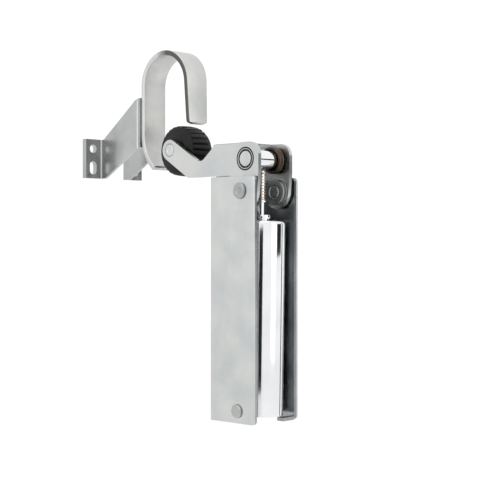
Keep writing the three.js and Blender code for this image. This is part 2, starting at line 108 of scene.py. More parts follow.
# ---- Procedural materials --------------------------------------------------------------
class Paint:
    """A small node builder around one Principled shader."""

    def __init__(self, name):
        self.material = bpy.data.materials.new(name)
        self.material.use_nodes = True
        self.tree = self.material.node_tree
        self.shader = next(n for n in self.tree.nodes if n.type == "BSDF_PRINCIPLED")
        self.place = self.add("ShaderNodeTexCoord").outputs["Object"]

    def add(self, kind, **values):
        node = self.tree.nodes.new(kind)
        for key, value in values.items():
            setattr(node, key, value)
        return node

    def link(self, source, target):
        self.tree.links.new(source, target)

    def noise(self, scale, detail=3.0, stretch=(1, 1, 1)):
        mapping = self.add("ShaderNodeMapping")
        mapping.inputs["Scale"].default_value = stretch
        self.link(self.place, mapping.inputs["Vector"])
        noise = self.add("ShaderNodeTexNoise")
        noise.inputs["Scale"].default_value = scale
        noise.inputs["Detail"].default_value = detail
        self.link(mapping.outputs["Vector"], noise.inputs["Vector"])
        return noise.outputs["Fac"]

    def ramp(self, source, stops):
        ramp = self.add("ShaderNodeValToRGB")
        points = ramp.color_ramp.elements
        while len(points) < len(stops):
            points.new(0.5)
        for point, (position, colour) in zip(points, stops):
            point.position = position
            point.color = (*colour, 1)
        self.link(source, ramp.inputs["Fac"])
        return ramp.outputs["Color"]

    def span(self, source, low, high):
        ranged = self.add("ShaderNodeMapRange")
        ranged.inputs["From Min"].default_value = 0.3
        ranged.inputs["From Max"].default_value = 0.7
        ranged.inputs["To Min"].default_value = low
        ranged.inputs["To Max"].default_value = high
        self.link(source, ranged.inputs["Value"])
        return ranged.outputs["Result"]

    def part(self, source, low, high):
        """0 at low to 1 at high."""
        ranged = self.add("ShaderNodeMapRange")
        ranged.inputs["From Min"].default_value = low
        ranged.inputs["From Max"].default_value = high
        self.link(source, ranged.inputs["Value"])
        return ranged.outputs["Result"]

    def distance_from_x_axis(self, centre, low, high):
        """0 to 1 across a range of distances from an axis along X, all in metres."""
        offset = self.add("ShaderNodeVectorMath", operation="SUBTRACT")
        offset.inputs[1].default_value = centre
        flat = self.add("ShaderNodeVectorMath", operation="MULTIPLY")
        flat.inputs[1].default_value = (0, 1, 1)
        length = self.add("ShaderNodeVectorMath", operation="LENGTH")
        self.link(self.place, offset.inputs[0])
        self.link(offset.outputs["Vector"], flat.inputs[0])
        self.link(flat.outputs["Vector"], length.inputs[0])
        return self.part(length.outputs["Value"], low, high)

    def bump(self, source, strength, distance):
        bump = self.add("ShaderNodeBump")
        bump.inputs["Strength"].default_value = strength
        bump.inputs["Distance"].default_value = distance
        self.link(source, bump.inputs["Height"])
        self.link(bump.outputs["Normal"], self.shader.inputs["Normal"])


def metal(name, dark, light, rough, grain_scale, stretch=(1, 1, 1), grain=0.12):
    """Plated steel: cloudy colour, uneven gloss and a fine rolled grain."""
    paint = Paint(name)
    paint.shader.inputs["Metallic"].default_value = 1.0
    clouds = paint.noise(38, 4)
    paint.link(paint.ramp(clouds, [(0.3, dark), (0.7, light)]), paint.shader.inputs["Base Color"])
    paint.link(paint.span(paint.noise(110, 5, stretch), *rough), paint.shader.inputs["Roughness"])
    paint.bump(paint.noise(grain_scale, 2, stretch), grain, 0.00006)
    return paint.material


def moulded(name, dark, light, rough, grain_scale):
    """Moulded plastic or rubber with a fine matt skin."""
    paint = Paint(name)
    paint.shader.inputs["Specular IOR Level"].default_value = 0.22
    paint.link(paint.ramp(paint.noise(160, 3), [(0.3, dark), (0.7, light)]),
               paint.shader.inputs["Base Color"])
    paint.link(paint.span(paint.noise(300, 3), *rough), paint.shader.inputs["Roughness"])
    paint.bump(paint.noise(grain_scale, 2), 0.2, 0.00008)
    return paint.material


def strap_zinc_painted_shade():
    """Satin plated bar, with painted shade darkening the near edge face of its front leg."""
    paint = Paint("strap_zinc_painted_shade")
    paint.shader.inputs["Metallic"].default_value = 1.0
    bar = paint.ramp(paint.noise(38, 4), [(0.3, (0.52, 0.53, 0.52)), (0.7, (0.66, 0.66, 0.64))])
    facing = paint.add("ShaderNodeSeparateXYZ")
    paint.link(paint.add("ShaderNodeNewGeometry").outputs["Normal"], facing.inputs[0])
    place = paint.add("ShaderNodeSeparateXYZ")
    paint.link(paint.place, place.inputs[0])
    # Painted shade: only on the near edge face, and along Y, in metres, only the front leg.
    edge = paint.part(facing.outputs["X"], -0.6, -0.9)
    front = paint.part(place.outputs["Y"], 0.078, 0.066)
    painted_shade_mask = paint.add("ShaderNodeMath", operation="MULTIPLY")
    paint.link(edge, painted_shade_mask.inputs[0])
    paint.link(front, painted_shade_mask.inputs[1])
    mix = paint.add("ShaderNodeMix", data_type="RGBA")
    paint.link(painted_shade_mask.outputs["Value"], mix.inputs["Factor"])
    paint.link(bar, mix.inputs["A"])
    # The dark colour of the painted shade on that face.
    mix.inputs["B"].default_value = (0.11, 0.11, 0.10, 1)
    paint.link(mix.outputs["Result"], paint.shader.inputs["Base Color"])
    paint.link(paint.span(paint.noise(110, 5), 0.40, 0.52), paint.shader.inputs["Roughness"])
    paint.bump(paint.noise(700, 2), 0.12, 0.00006)
    return paint.material


def ringed_bush():
    """A bush whose end shows a bright raised ring, with painted shade darkening the recesses inside and
    outside it.
    """
    # dark: painted shade for the recesses; light: the steel's own colour.
    dark, light = (0.02, 0.018, 0.015), (0.42, 0.42, 0.41)
    paint = Paint("bush_steel_painted_shade")
    paint.shader.inputs["Metallic"].default_value = 1.0
    reach = paint.distance_from_x_axis(LINK * MM, 0.0060, 0.0092)
    # The dark stops are painted shade in the recesses; the light stop is the raised ring's steel.
    rings = [(0.0, dark), (0.36, dark), (0.44, light), (0.62, light), (0.70, dark)]
    paint.link(paint.ramp(reach, rings), paint.shader.inputs["Base Color"])
    paint.link(paint.span(paint.noise(110, 5), 0.3, 0.45), paint.shader.inputs["Roughness"])
    return paint.material


SATIN = (0.20, 0.30)     # roughness of the plated sheets
UPWARD = (1, 1, 0.25)    # draws their grain out along Z
ZINC = metal("zinc_plate", (0.50, 0.525, 0.53), (0.62, 0.625, 0.61), SATIN, 900, UPWARD)
STRAP_ZINC_PAINTED_SHADE = strap_zinc_painted_shade()
CHANNEL_ZINC = metal("channel_zinc", (0.28, 0.295, 0.305), (0.40, 0.41, 0.41), SATIN, 900, UPWARD)
BRACKET_ZINC = metal("bracket_zinc", (0.36, 0.375, 0.375), (0.48, 0.49, 0.48), SATIN, 900, UPWARD)
RIVET_STEEL = metal("rivet_steel", (0.33, 0.34, 0.34), (0.46, 0.47, 0.46), (0.28, 0.42), 1200)
BRIGHT = metal("bright_steel", (0.78, 0.79, 0.81), (0.88, 0.885, 0.89), (0.05, 0.10), 1400, (1, 1, 0.1), 0.05)
PIN_STEEL = metal("pin_steel", (0.50, 0.52, 0.52), (0.66, 0.67, 0.66), (0.28, 0.42), 1200)
DARK_STEEL = metal("spring_steel", (0.045, 0.035, 0.03), (0.12, 0.09, 0.07), (0.25, 0.42), 900)
COPPERY = metal("light_spring", (0.52, 0.36, 0.25), (0.72, 0.60, 0.48), (0.18, 0.3), 1500)
PLASTIC = moulded("roller_plastic", (0.003, 0.003, 0.0035), (0.007, 0.007, 0.008), (0.34, 0.46), 1500)
BUSH_PAINTED_SHADE = ringed_bush()
RUBBER = moulded("seal_rubber", (0.012, 0.012, 0.012), (0.03, 0.03, 0.03), (0.6, 0.8), 1200)


# ---- Mesh helpers ----------------------------------------------------------------------
SHARP = math.radians(34)
X_OUT = Matrix(((0, 0, 1, 0), (1, 0, 0, 0), (0, 1, 0, 0), (0, 0, 0, 1)))   # (y, z) outline, along X
Y_OUT = Matrix(((0, 1, 0, 0), (0, 0, 1, 0), (1, 0, 0, 0), (0, 0, 0, 1)))   # (z, x) outline, along Y
MIRROR = Matrix.Diagonal((-1, 1, 1, 1))


def arc(centre, radius, start, end, steps=16):
    """Points on an arc, angles in degrees."""
    return [
        (centre[0] + radius * math.cos(a), centre[1] + radius * math.sin(a))
        for a in (math.radians(start + (end - start) * i / steps) for i in range(steps + 1))
    ]


def rounded(points, radius, steps=4):
    """The closed outline with each corner turned into a small arc; points with r 0 stay sharp."""
    out = []
    count = len(points)
    for i, here in enumerate(points):
        p = Vector(here[:2])
        r = here[2] if len(here) > 2 else radius
        before, after = Vector(points[i - 1][:2]), Vector(points[(i + 1) % count][:2])
        a, b = (before - p), (after - p)
        if r <= 0 or a.length < 1e-6 or b.length < 1e-6:
            out.append(tuple(p))
            continue
        angle = a.angle(b)
        if angle > math.radians(174):
            out.append(tuple(p))
            continue
        cut = min(r / math.tan(angle / 2), 0.48 * a.length, 0.48 * b.length)
        r = cut * math.tan(angle / 2)
        centre = p + (a.normalized() + b.normalized()).normalized() * (r / math.sin(angle / 2))
        first, last = p + a.normalized() * cut, p + b.normalized() * cut
        for step in range(steps + 1):
            spoke = (first - centre).slerp(last - centre, step / steps)
            out.append(tuple(centre + spoke.normalized() * r))
    return out


def mark_edges(bm):
    """Smooth faces, with only the real edges sharp."""
    for face in bm.faces:
        face.smooth = True
    for edge in bm.edges:
        edge.smooth = len(edge.link_faces) == 2 and edge.calc_face_angle(0) < SHARP


def finish_mesh(bm, name, matrix=None):
    """A mesh object in metres from a bmesh in millimetres, smooth except at its real edges."""
    if matrix is not None:
        bm.transform(matrix)
        if matrix.determinant() < 0:
            bmesh.ops.reverse_faces(bm, faces=bm.faces)
    bm.transform(Matrix.Scale(MM, 4))
    bmesh.ops.remove_doubles(bm, verts=bm.verts, dist=2e-7)
    bmesh.ops.recalc_face_normals(bm, faces=bm.faces)
    mark_edges(bm)
    mesh = bpy.data.meshes.new(name)
    bm.to_mesh(mesh)
    bm.free()
    piece = bpy.data.objects.new(name, mesh)
    bpy.context.scene.collection.objects.link(piece)
    return piece


def turned(name, profile, matrix, segments=72):
    """A turned piece: profile of (radius, height) points, closed on itself or on the axis."""
    bm = bmesh.new()
    rings = []
    for radius, height in profile:
        if radius < 1e-6:
            rings.append([bm.verts.new((0, 0, height))])
            continue
        rings.append([
            bm.verts.new((radius * math.cos(a), radius * math.sin(a), height))
            for a in (2 * math.pi * i / segments for i in range(segments))
        ])
    for lower, upper in zip(rings, rings[1:] + rings[:1]):
        if len(lower) == 1 and len(upper) == 1:
            continue
        for i in range(segments):
            j = (i + 1) % segments
            quad = [lower[i % len(lower)], lower[j % len(lower)],
                    upper[j % len(upper)], upper[i % len(upper)]]
            bm.faces.new(list(dict.fromkeys(quad)))
    return finish_mesh(bm, name, matrix)


def plate_bmesh(outline, holes, low, high, ease):
    """A flat sheet from a closed outline and its holes, with eased edges, between two heights."""
    curve = bpy.data.curves.new("outline", "CURVE")
    curve.dimensions = "2D"
    curve.fill_mode = "BOTH"
    for loop in [outline, *holes]:
        spline = curve.splines.new("POLY")
        spline.points.add(len(loop) - 1)
        for point, (x, y) in zip(spline.points, loop):
            point.co = (x, y, 0, 1)
        spline.use_cyclic_u = True
    curve.extrude = (high - low) / 2 - ease
    curve.bevel_depth = ease
    curve.bevel_resolution = 2 if ease else 0
    curve.offset = -ease
    helper = bpy.data.objects.new("outline", curve)
    bpy.context.scene.collection.objects.link(helper)
    mesh = bpy.data.meshes.new_from_object(helper)
    bm = bmesh.new()
    bm.from_mesh(mesh)
    bm.transform(Matrix.Translation((0, 0, (low + high) / 2)))
    bmesh.ops.remove_doubles(bm, verts=bm.verts, dist=1e-4)
    bpy.data.objects.remove(helper)
    bpy.data.curves.remove(curve)
    bpy.data.meshes.remove(mesh)
    return bm


def plate(name, outline, holes, low, high, ease, matrix=X_OUT):
    return finish_mesh(plate_bmesh(outline, holes, low, high, ease), name, matrix)


def combined(base, other, operation):
    """Applies a boolean of two pieces to the first and removes the second."""
    modifier = base.modifiers.new("join", "BOOLEAN")
    modifier.operation = operation
    modifier.solver = "EXACT"
    modifier.object = other
    bpy.context.view_layer.update()
    evaluated = base.evaluated_get(bpy.context.evaluated_depsgraph_get())
    mesh = bpy.data.meshes.new_from_object(evaluated)
    base.modifiers.clear()
    base.data = mesh
    bpy.data.objects.remove(other)
    return base


def eased(piece, width, segments=3):
    """Rounds the real edges of a piece made by boolean cuts."""
    bm = bmesh.new()
    bm.from_mesh(piece.data)
    bmesh.ops.remove_doubles(bm, verts=bm.verts, dist=2e-6)
    bmesh.ops.dissolve_limit(bm, angle_limit=math.radians(0.8), verts=bm.verts, edges=bm.edges)
    edges = [e for e in bm.edges if len(e.link_faces) == 2 and e.calc_face_angle(0) > SHARP]
    bmesh.ops.bevel(bm, geom=edges, offset=width * MM, segments=segments, profile=0.5,
                    affect="EDGES", clamp_overlap=True)
    bmesh.ops.triangulate(bm, faces=[f for f in bm.faces if len(f.verts) > 4])
    mark_edges(bm)
    bm.to_mesh(piece.data)
    bm.free()
    modifier = piece.modifiers.new("normals", "WEIGHTED_NORMAL")
    modifier.keep_sharp = True
    return piece


def sharpened(piece):
    """Marks the real edges of a piece whose holes were cut by boolean."""
    bm = bmesh.new()
    bm.from_mesh(piece.data)
    mark_edges(bm)
    bm.to_mesh(piece.data)
    bm.free()
    return piece


def coil(name, radius, wire, low, high, turns, matrix, closed_ends=1.0):
    """A round-wire spring about Z with closed end turns."""
    curve = bpy.data.curves.new(name, "CURVE")
    curve.dimensions = "3D"
    curve.bevel_depth = wire * MM
    curve.bevel_resolution = 3
    curve.use_fill_caps = True
    steps = int(turns * 28)
    spline = curve.splines.new("POLY")
    spline.points.add(steps)
    span = high - low - 2 * wire
    ends = closed_ends / turns
    for i, point in enumerate(spline.points):
        t = i / steps
        eased_t = min(max((t - ends) / (1 - 2 * ends), 0), 1) if ends < 0.5 else t
        height = low + wire + span * (0.88 * eased_t + 0.12 * t)
        angle = 2 * math.pi * turns * t
        place = matrix @ Vector((radius * math.cos(angle), radius * math.sin(angle), height))
        point.co = (*(place * MM), 1)
    helper = bpy.data.objects.new(name, curve)
    bpy.context.scene.collection.objects.link(helper)
    mesh = bpy.data.meshes.new_from_object(helper)
    bpy.data.objects.remove(helper)
    bpy.data.curves.remove(curve)
    for polygon in mesh.polygons:
        polygon.use_smooth = True
    piece = bpy.data.objects.new(name, mesh)
    bpy.context.scene.collection.objects.link(piece)
    return piece


def put(piece, body, nodes, paint):
    """Paints a piece, lets it ride on its body and hides the CAD nodes it stands for."""
    piece.data.materials.clear()
    piece.data.materials.append(paint)
    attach(piece, body)
    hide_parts(*nodes)
    return piece


def about_x(centre, side=1):
    """Places a piece turned about Z on an X axis through centre; side -1 mirrors it."""
    flip = MIRROR if side < 0 else Matrix.Identity(4)
    return Matrix.Translation((0, centre.y, centre.z)) @ flip @ X_OUT


SIDES = ((-1, "near"), (1, "far"))


# ---- Body ------------------------------------------------------------------------------
def side_outline(front, radius):
    half = HEIGHT_HALF
    return rounded([(0, -half, 0.8), (0, half, 0.8), (front, half, radius), (front, -half, radius)],
                   radius, 10)


def hole(place, radius):
    return arc((place.y, place.z), radius, 0, 350, 35)


def make_side_plates():
    holes = [hole(PIVOT, RIVET_HOLE), hole(TRUNNION, RIVET_HOLE)]
    for side, label in SIDES:
        matrix = MIRROR @ X_OUT if side < 0 else X_OUT
        piece = plate(f"cover_plate_{label}", side_outline(BODY_FRONT, CORNER), holes,
                      BODY_HALF - PLATE, BODY_HALF, 0.45, matrix)
        put(piece, "closer_body", [f"side_plate_{label}"], ZINC)


CHANNEL_FRONT = BODY_FRONT + 0.5     # set back behind the side plates
CHANNEL_OUTER = BODY_HALF - PLATE - GAP
CHANNEL_INNER = CHANNEL_OUTER - CHANNEL
CHANNEL_BEND = 3.0
LIP_REACH, LIP_DEPTH, LIP_HEIGHT = 13, 7, 2.6
DOOR_SCREW = 3.2
DOOR_SCREWS = [(x, z) for x in (-13, 13) for z in (72, -60)]


def channel_section():
    """The bent sheet's U, running past the front so that the side outline can trim it."""
    outer, inner, bend = CHANNEL_OUTER, CHANNEL_INNER, CHANNEL_BEND
    past = BODY_FRONT - 5
    return rounded([(-outer, past, 0), (-outer, 0, bend), (outer, 0, bend), (outer, past, 0),
                    (inner, past, 0), (inner, -CHANNEL, bend - CHANNEL),
                    (-inner, -CHANNEL, bend - CHANNEL), (-inner, past, 0)], 0, 8)


def make_body_channel():
    """A U-bent sheet with the side outlines, door screw holes and the turned lip."""
    channel = plate("channel_body", channel_section(), [], -HEIGHT_HALF, HEIGHT_HALF, 0,
                    Matrix.Identity(4))
    holes = [hole(PIVOT, RIVET_HOLE), hole(TRUNNION, RIVET_HOLE)]
    trim = plate("cut", side_outline(CHANNEL_FRONT, CORNER), holes,
                 -CHANNEL_OUTER - 1, CHANNEL_OUTER + 1, 0)
    channel = combined(channel, trim, "INTERSECT")
    left, right = CHANNEL_INNER - LIP_REACH, CHANNEL_INNER + 0.4
    front, back = CHANNEL_FRONT, CHANNEL_FRONT + LIP_DEPTH
    outline = rounded([(left, front), (right, front), (right, back), (left, back)], 0.9, 4)
    lip = plate("lip", outline, [], -HEIGHT_HALF, -HEIGHT_HALF + LIP_HEIGHT, 0, Matrix.Identity(4))
    channel = combined(channel, lip, "UNION")
    for x, z in DOOR_SCREWS:
        drill = turned("drill", [(0, -4), (DOOR_SCREW, -4), (DOOR_SCREW, 4), (0, 4)],
                       Matrix.Translation((x, 0, z)) @ Matrix.Rotation(math.pi / 2, 4, "X"), 40)
        channel = combined(channel, drill, "DIFFERENCE")
    put(eased(channel, 0.4), "closer_body", ["body_channel"], CHANNEL_ZINC)


HEAD_SEAT = BODY_HALF + 0.1          # under the rivet heads
PIVOT_SHANK = 4
PIVOT_HEAD = 6.25
PIVOT_DISC = 10
TRUNNION_SHANK = 3
TRUNNION_HEAD = 5.3


def pivot_profile():
    """(radius, x, corner) from the grooved disc inside the arm to the dimpled head."""
    seat, inner = HEAD_SEAT, ARM_HALF - ARM_SHEET - GAP
    face, groove = inner - 2, inner - 1.5
    crest, dimple = BODY_HALF + 1.9, BODY_HALF + 1.35
    return rounded([
        (0, face), (4.1, face, 0.2), (4.5, groove, 0.2), (5.2, groove, 0.2), (5.6, face, 0.2),
        (PIVOT_DISC, face, 0.4), (PIVOT_DISC, inner, 0.3), (PIVOT_SHANK, inner, 0),
        (PIVOT_SHANK, seat, 0), (PIVOT_HEAD, seat, 0.2), (PIVOT_HEAD, BODY_HALF + 1.0, 0.8),
        (5.2, crest, 0.9), (2.9, crest, 0.3), (2.2, dimple, 0.3), (0, dimple)], 0.3)


def trunnion_profile(start):
    """(radius, x, corner) of a stub from its inner end to its plain head."""
    top = BODY_HALF + 1.6
    return rounded([
        (0, start, 0), (TRUNNION_SHANK, start, 0.4), (TRUNNION_SHANK, HEAD_SEAT, 0),
        (TRUNNION_HEAD, HEAD_SEAT, 0.2), (TRUNNION_HEAD, BODY_HALF + 0.9, 0.7),
        (4.4, top, 0.7), (0, top, 0)], 0.3)


def make_rivets():
    for side, label in SIDES:
        put(turned(f"pivot_stud_{label}", pivot_profile(), about_x(PIVOT, side)), "closer_body",
            [f"pivot_rivet_{label}"], RIVET_STEEL)
        start = BODY_HALF + 1.6 - extent(f"trunnion_rivet_{label}").x
        put(turned(f"trunnion_stud_{label}", trunnion_profile(start), about_x(TRUNNION, side)),
            "closer_body", [f"trunnion_rivet_{label}"], RIVET_STEEL)
        low, high = sorted(abs(c.x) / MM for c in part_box(f"pivot_washer_{label}"))
        profile = rounded([(RIVET_HOLE, low), (9, low), (9, high), (RIVET_HOLE, high)], 0.25)
        put(turned(f"spacer_washer_{label}", profile, about_x(PIVOT, side)), "closer_body",
            [f"pivot_washer_{label}"], BRIGHT)


# ---- Arm -------------------------------------------------------------------------------
END_RADIUS = 13.1
EYE_RADIUS = 8.5
ARM_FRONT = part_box("arm_channel")[0].y / MM
ARM_CORNER = 10
UNDERSIDE = 96.3
WEB_FROM, WEB_TO = -26.9, 1.5
WEB_SIDE = 5.4           # how far the bent top reaches down the flanges
ARM_INNER = ARM_HALF - ARM_SHEET
BUSH_RADIUS = 8.95
AXLE_BORE = 5.3
PIN_RADIUS = extent("link_pin").y / 2
AXLE_RADIUS = extent("roller_axle").y / 2


def arm_outline():
    lean = math.degrees(math.atan2(13.8, 22.7))
    eye = (AXLE.y, AXLE.z)
    outline = [(PIVOT.y - END_RADIUS, PIVOT.z), (ARM_FRONT, LINK.z - 10)]
    outline += arc((ARM_FRONT + ARM_CORNER, ARM_TOP - ARM_CORNER), ARM_CORNER, 180, 90, 18)
    outline += rounded_run([(ARM_FRONT + ARM_CORNER, ARM_TOP), (WEB_TO, ARM_TOP, 2.5), (4.6, 118, 2),
                            (17.2, 107.7, 7), arc(eye, EYE_RADIUS, 90 + lean, 0, 1)[0]])
    outline += arc(eye, EYE_RADIUS, 90 + lean, lean - 90, 30)
    outline += rounded_run([outline[-1], (32, UNDERSIDE, 5),
                            (PIVOT.y + END_RADIUS, UNDERSIDE, 4), (PIVOT.y + END_RADIUS, PIVOT.z)])
    outline += arc((PIVOT.y, PIVOT.z), END_RADIUS, 0, -180, 30)[:-1]
    return outline


def rounded_run(points):
    """Rounds the inner points of an open run and leaves out its two ends."""
    closed = [(*points[0][:2], 0), *points[1:-1], (*points[-1][:2], 0)]
    return rounded(closed, 0, 6)[1:-1]


def web_section():
    """Cross-section (z, x) of the arm's bent top."""
    top, foot, half, inner = ARM_TOP, ARM_TOP - WEB_SIDE, ARM_HALF, ARM_INNER
    return rounded([(foot, -half, 0), (top, -half, 4.6), (top, half, 4.6), (foot, half, 0),
                    (foot, inner, 0), (top - ARM_SHEET, inner, 1.6), (top - ARM_SHEET, -inner, 1.6),
                    (foot, -inner, 0)], 0, 8)


def make_arm():
    """Two flanges cut from one block, with the bent top joined across them."""
    bores = [hole(PIVOT, RIVET_HOLE), hole(LINK, BUSH_RADIUS + GAP), hole(AXLE, AXLE_BORE)]
    arm = plate("formed_arm", arm_outline(), bores, -ARM_HALF, ARM_HALF, 0)
    between = [(-60, -ARM_INNER), (-60, ARM_INNER), (200, ARM_INNER), (200, -ARM_INNER)]
    arm = combined(arm, plate("hollow", between, [], -60, 90, 0, Y_OUT), "DIFFERENCE")
    foot, over, side = ARM_TOP - WEB_SIDE, ARM_TOP + 1, ARM_HALF + 1
    top = [(foot, -side), (foot, side), (over, side), (over, -side)]
    arm = combined(arm, plate("slot", top, [], WEB_FROM, WEB_TO, 0, Y_OUT), "DIFFERENCE")
    arm = combined(arm, plate("web", web_section(), [], WEB_FROM, WEB_TO, 0, Y_OUT), "UNION")
    put(eased(arm, 0.42), "arm", ["arm_channel"], ZINC)


def bush_profile():
    """(radius, x, corner) of a flange bush with a raised ring on its end."""
    bore, inner, face = PIN_RADIUS + 0.55, ARM_INNER + 0.1, ARM_HALF + 0.1
    return rounded([(bore, inner, 0.2), (BUSH_RADIUS, inner, 0.2), (BUSH_RADIUS, face - 0.5, 0),
                    (8.6, face - 0.5, 0), (8.3, face, 0.25), (7.35, face, 0.25),
                    (7.1, face - 0.6, 0), (bore, face - 0.6, 0.1)], 0)


def make_link():
    """The top pin with its bushes, sleeve and torsion spring."""
    half = extent("link_pin").x / 2
    profile = rounded([(0, -half, 0), (PIN_RADIUS, -half, 0.5), (PIN_RADIUS, half, 0.5),
                       (0, half, 0)], 0)
    put(turned("top_pin", profile, about_x(LINK)), "arm", ["link_pin"], PIN_STEEL)
    for side, label in SIDES:
        put(turned(f"flange_bush_{label}", bush_profile(), about_x(LINK, side)), "arm",
            [f"pin_bush_{label}"], BUSH_PAINTED_SHADE)
    barrel = extent("link_barrel")
    bore = PIN_RADIUS + GAP
    profile = rounded([(bore, -barrel.x / 2), (barrel.y / 2, -barrel.x / 2),
                       (barrel.y / 2, barrel.x / 2), (bore, barrel.x / 2)], 0.5)
    put(turned("barrel_sleeve", profile, about_x(LINK)), "arm", ["link_barrel"], BRIGHT)
    low, high = (corner.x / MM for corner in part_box("torsion_spring"))
    put(coil("torsion_coil", barrel.y / 2 + 2.0, 1.4, low, high, 1.9, about_x(LINK), 0.0),
        "arm", ["torsion_spring"], DARK_STEEL)


def make_axle():
    """The roller's axle, dimpled at its near end, and a washer at each flange."""
    half, radius = extent("roller_axle").x / 2, AXLE_RADIUS
    profile = rounded([(0, -half + 0.3, 0), (2.2, -half + 0.3, 0.3), (2.6, -half, 0.3),
                       (radius, -half, 0.7), (radius, half, 0.7), (0, half, 0)], 0)
    put(turned("axle_pin", profile, about_x(AXLE)), "arm", ["roller_axle"], PIN_STEEL)
    bore = radius + GAP
    for side, label in SIDES:
        low, high = sorted(abs(c.x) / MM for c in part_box(f"axle_washer_{label}"))
        profile = rounded([(bore, low), (7.4, low), (7.4, high), (bore, high)], 0.3)
        put(turned(f"thrust_washer_{label}", profile, about_x(AXLE, side)), "arm",
            [f"axle_washer_{label}"], BRIGHT)


# ---- Roller ----------------------------------------------------------------------------
RIBS = 26
RIB_STEPS = 10
GROOVE = 1.35


def rib_depth(turn):
    """How far the tread is cut away at a turn of 0 to 1 round one rib."""
    edge = min(turn, 1 - turn) * 2
    return GROOVE * (1 - min(edge / 0.42, 1) ** 2)


def tread_profile():
    """(x, radius, share of the rib depth cut there), from the near boss to the far one."""
    half, end = 12.0, extent("roller_tread").x / 2
    bore, boss, full = 8.5, 12, ROLLER_RADIUS
    profile = [(-end, bore, 0), (-end, 11.4, 0), (-end + 0.5, boss, 0), (-half, 12.2, 0),
               (-half, full - 3.4, 0), (-half + 0.35, full - 2.5, 0), (-half + 1.3, full - 1.3, 0.3)]
    for i in range(11):
        t = i / 10
        crown = 0.7 * (2 * t - 1) ** 2
        profile.append((-half + 2.2 + t * (2 * half - 6.4), full - crown, 1))
    return profile + [
        (half - 4.0, full - 1.6, 0.7), (half - 3.9, full - 2.3, 0), (half - 1.2, full - 2.6, 0),
        (half - 0.3, full - 3.2, 0), (half, full - 4.0, 0), (half, 12.2, 0),
        (end - 0.5, boss, 0), (end, 11.4, 0), (end, bore, 0)]


def make_roller():
    bm = bmesh.new()
    count = RIBS * RIB_STEPS
    rings = []
    for x, radius, share in tread_profile():
        ring = []
        for i in range(count):
            angle = 2 * math.pi * i / count
            r = radius - share * rib_depth((i % RIB_STEPS) / RIB_STEPS)
            ring.append(bm.verts.new((x, AXLE.y + r * math.cos(angle), AXLE.z + r * math.sin(angle))))
        rings.append(ring)
    for lower, upper in zip(rings, rings[1:] + rings[:1]):
        for i in range(count):
            j = (i + 1) % count
            bm.faces.new((lower[i], lower[j], upper[j], upper[i]))
    put(finish_mesh(bm, "ribbed_tread"), "roller", ["roller_tread"], PLASTIC)
    hub = extent("roller_bush")
    inner = AXLE_RADIUS + GAP
    profile = rounded([(inner, -hub.x / 2), (hub.y / 2, -hub.x / 2), (hub.y / 2, hub.x / 2),
                       (inner, hub.x / 2)], 0.5)
    put(turned("hub_bush", profile, about_x(AXLE)), "roller", ["roller_bush"], PLASTIC)


# ---- Damper ----------------------------------------------------------------------------
TUBE_TOP = 147.3
TUBE_RADIUS = extent("cylinder_tube").x / 2
TUBE_FOOT = -5.0
GUIDE_RADIUS = 6.2
ROD_RADIUS = extent("piston_rod").x / 2


def make_damper():
    inner = TUBE_RADIUS - 2
    mouth = GUIDE_RADIUS + GAP
    tube = turned("damper_tube", rounded(
        [(inner, TUBE_FOOT, 0.3), (TUBE_RADIUS, TUBE_FOOT, 0.8), (TUBE_RADIUS, TUBE_TOP, 3.0),
         (mouth, TUBE_TOP, 0.4), (mouth, TUBE_TOP - 2.4, 0), (inner, TUBE_TOP - 4.6, 1)], 0, 8),
        DAMPER, 128)
    plug = turned("end_plug", rounded(
        [(0, TUBE_FOOT + 0.6, 0), (inner - GAP, TUBE_FOOT + 0.6, 0.6), (inner - GAP, 12, 0.6),
         (0, 12, 0)], 0, 6), DAMPER, 96)
    bored = TRUNNION_SHANK + GAP
    out = TUBE_RADIUS + 2
    for side in (-1, 1):
        for start, piece in ((10, plug), (inner - 3, tube)):
            bore = turned("bore", [(0, start), (bored, start), (bored, out), (0, out)],
                          about_x(TRUNNION, side), 40)
            combined(piece, bore, "DIFFERENCE")
    put(sharpened(tube), "damper", ["cylinder_tube"], BRIGHT)
    put(sharpened(plug), "damper", ["bottom_cap"], BRIGHT)
    bore = ROD_RADIUS + GAP
    foot, top = TUBE_TOP + 1.2, TUBE_TOP + 4.4
    collar = rounded([(bore, TUBE_TOP - 8, 0), (GUIDE_RADIUS, TUBE_TOP - 8, 0), (GUIDE_RADIUS, foot, 0),
                      (7.2, foot, 0.3), (7.2, top, 0.5), (bore + 0.5, top, 0.3),
                      (bore, top - 0.6, 0)], 0)
    put(turned("rod_guide", collar, DAMPER), "damper", ["gland_collar"], BRIGHT)
    low, high = TUBE_TOP - 11.4, TUBE_TOP - 8.3
    seal = rounded([(bore, low), (GUIDE_RADIUS, low), (GUIDE_RADIUS, high), (bore, high)], 0.6)
    put(turned("lip_seal", seal, DAMPER), "damper", ["rod_seal"], RUBBER)
    put(coil("return_spring", 13, 1.5, 50.4, TUBE_TOP - 12, 12, DAMPER), "damper", ["main_spring"],
        DARK_STEEL)


